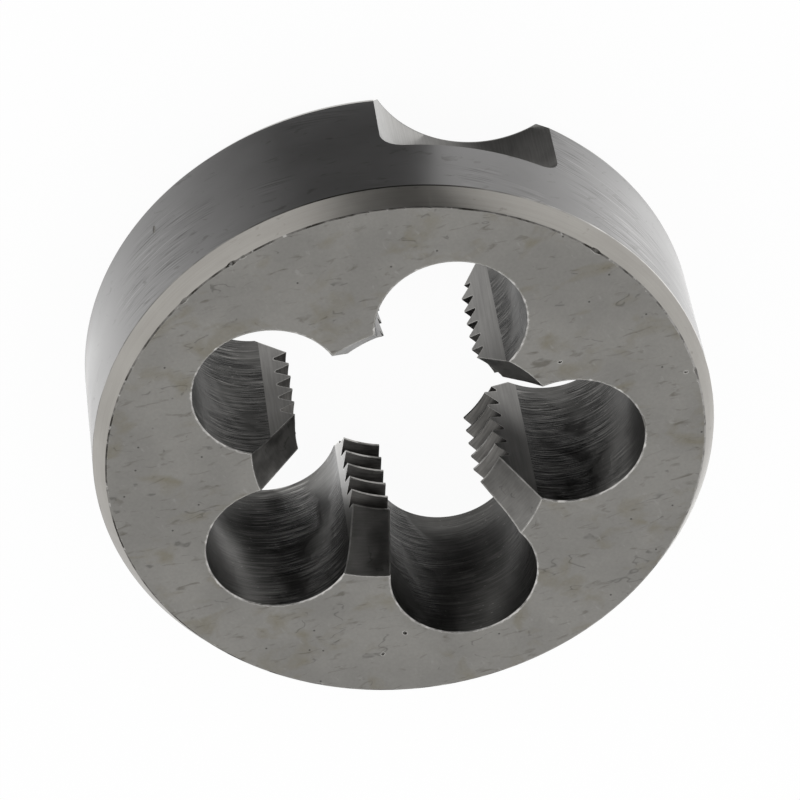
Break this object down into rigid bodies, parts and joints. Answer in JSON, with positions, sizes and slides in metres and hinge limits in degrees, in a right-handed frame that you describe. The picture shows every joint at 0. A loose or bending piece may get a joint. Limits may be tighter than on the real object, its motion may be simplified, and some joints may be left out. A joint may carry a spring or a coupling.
{
  "type": "round threading die",
  "caption": "Round solid threading die: a chamfered steel ring with a threaded bore, clearance holes round it, relieved lead tapers and a notch milled in the rim.",
  "frame": {"origin": "centre of the back face, on the axis of the bore", "axes": "+Z along the bore, out of the starting face; +Y through the clearance hole beside the rim notch"},
  "size_m": [0.045, 0.045, 0.014],
  "materials": {
    "tool_steel": "hardened and ground, satin grey"
  },
  "bodies": {
    "root": {"threading_die": "tool_steel"}
  },
  "joints": []
}
